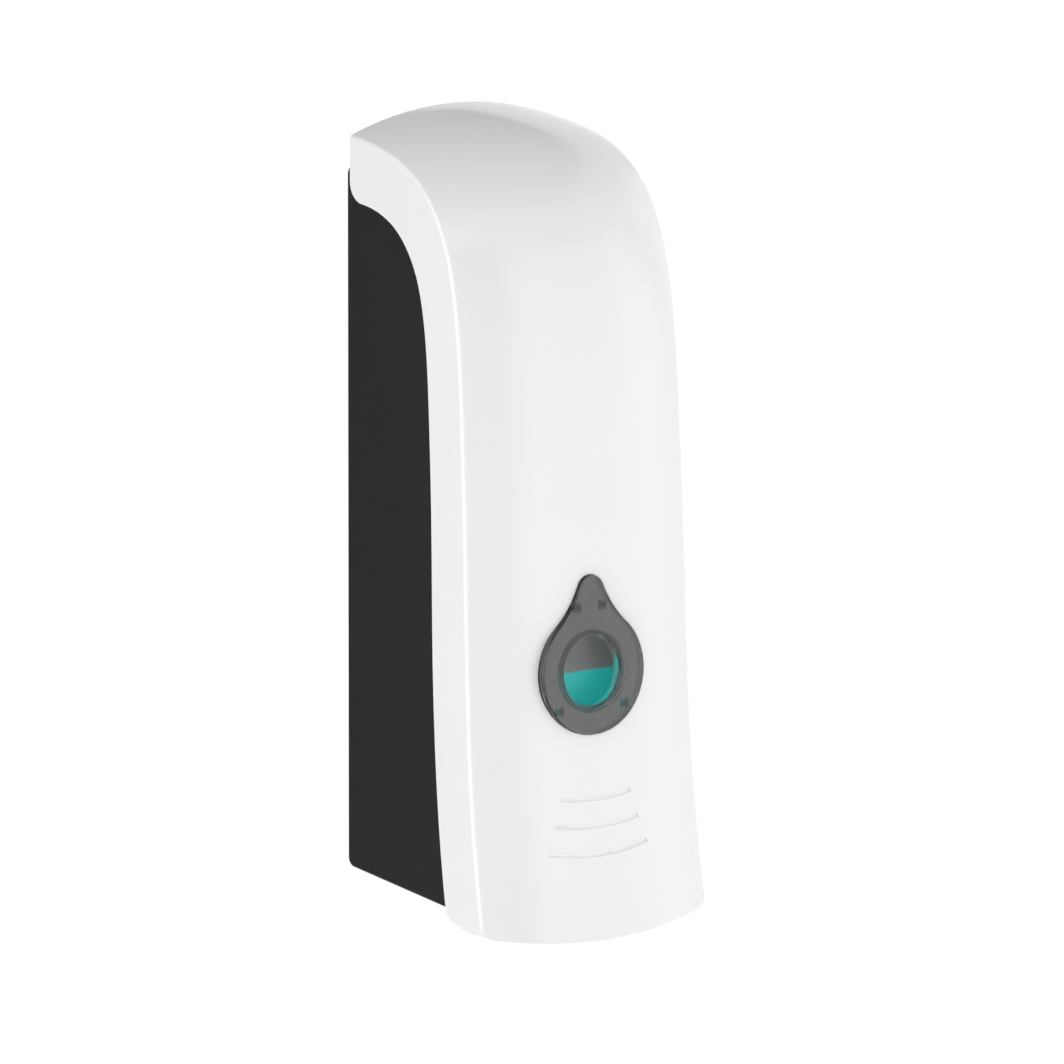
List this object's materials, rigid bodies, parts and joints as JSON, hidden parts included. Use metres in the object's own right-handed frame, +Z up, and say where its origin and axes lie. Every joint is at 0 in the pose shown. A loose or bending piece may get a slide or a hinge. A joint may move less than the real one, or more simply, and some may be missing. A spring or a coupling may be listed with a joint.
{
  "type": "wall mounted soap dispenser",
  "caption": "Slim wall soap dispenser: crowned white push cover over a black tray, drop-shaped sight window, tank, piston pump and tip-forward cover for filling.",
  "frame": {"origin": "centre of the four wall screw holes, on the plane where the tray's back meets the wall", "axes": "+Z up along the cover's length, +Y into the wall, the cover faces -Y, +X to the right of a person who faces it"},
  "size_m": [0.0894, 0.0838, 0.2581],
  "materials": {
    "white_abs": "polished injection-moulded ABS",
    "black_abs": "fine spark texture, moulded ABS",
    "smoked_pc": "smoked polycarbonate, polished",
    "clear_pmma": "clear acrylic, polished",
    "smoke_pp": "smoke-tinted translucent polypropylene",
    "liquid_soap": "teal liquid soap",
    "grey_pom": "grey acetal, moulded",
    "white_pom": "natural acetal, moulded",
    "rubber": "moulded nitrile rubber",
    "silicone": "translucent silicone rubber",
    "steel": "stainless steel"
  },
  "bodies": {
    "housing": {"rear_housing": "black_abs", "pivot_pins": "steel", "soap_tank": "smoke_pp", "soap_fill": "liquid_soap", "lid_pin": "steel", "pump_bracket": "black_abs", "bracket_screws": "steel", "pump_barrel": "white_pom", "retaining_clip": "steel", "inlet_ball": "steel", "valve_seat": "white_pom", "tank_grommet": "rubber", "outlet_duct": "white_pom", "nozzle_collar": "white_pom", "duckbill_valve": "silicone", "return_spring": "steel"},
    "push_frame": {"push_frame": "grey_pom", "push_pad": "rubber", "tilt_pins": "steel", "latch_spring": "steel"},
    "latch": {"release_latch": "grey_pom"},
    "cover": {"front_cover": "white_abs", "drop_window": "smoked_pc", "sight_lens": "clear_pmma", "window_retainer": "white_abs"},
    "piston": {"plunger": "white_pom", "piston_ring": "rubber"},
    "lid": {"tank_lid": "grey_pom", "lid_seal": "rubber"}
  },
  "joints": [
    {"name": "cover_push", "type": "hinge", "parent": "housing", "child": "push_frame", "pos_m": [0, -0.014, 0.106], "axis": [1, 0, 0], "range_deg": [0, 2], "stiffness_Nm_per_rad": 45, "springref_deg": -1.26},
    {"name": "cover_tip", "type": "hinge", "parent": "push_frame", "child": "cover", "pos_m": [0, -0.069, -0.114], "axis": [1, 0, 0], "range_deg": [0, 65]},
    {"name": "piston_stroke", "type": "slide", "parent": "housing", "child": "piston", "axis": [0, 1, 0], "range_m": [0, 0.0072], "deforming": ["return_spring"]},
    {"name": "latch_release", "type": "slide", "parent": "push_frame", "child": "latch", "axis": [0, 0, -1], "range_m": [0, 0.0025], "stiffness_N_per_m": 400, "springref_m": -0.002, "deforming": ["latch_spring"]},
    {"name": "lid_flip", "type": "hinge", "parent": "housing", "child": "lid", "pos_m": [0, -0.0196, 0.0885], "axis": [-1, 0, 0], "range_deg": [0, 80]}
  ],
  "couplings": [
    {"joint": "piston_stroke", "follows": "cover_push", "m_per_rad": 0.2032}
  ]
}
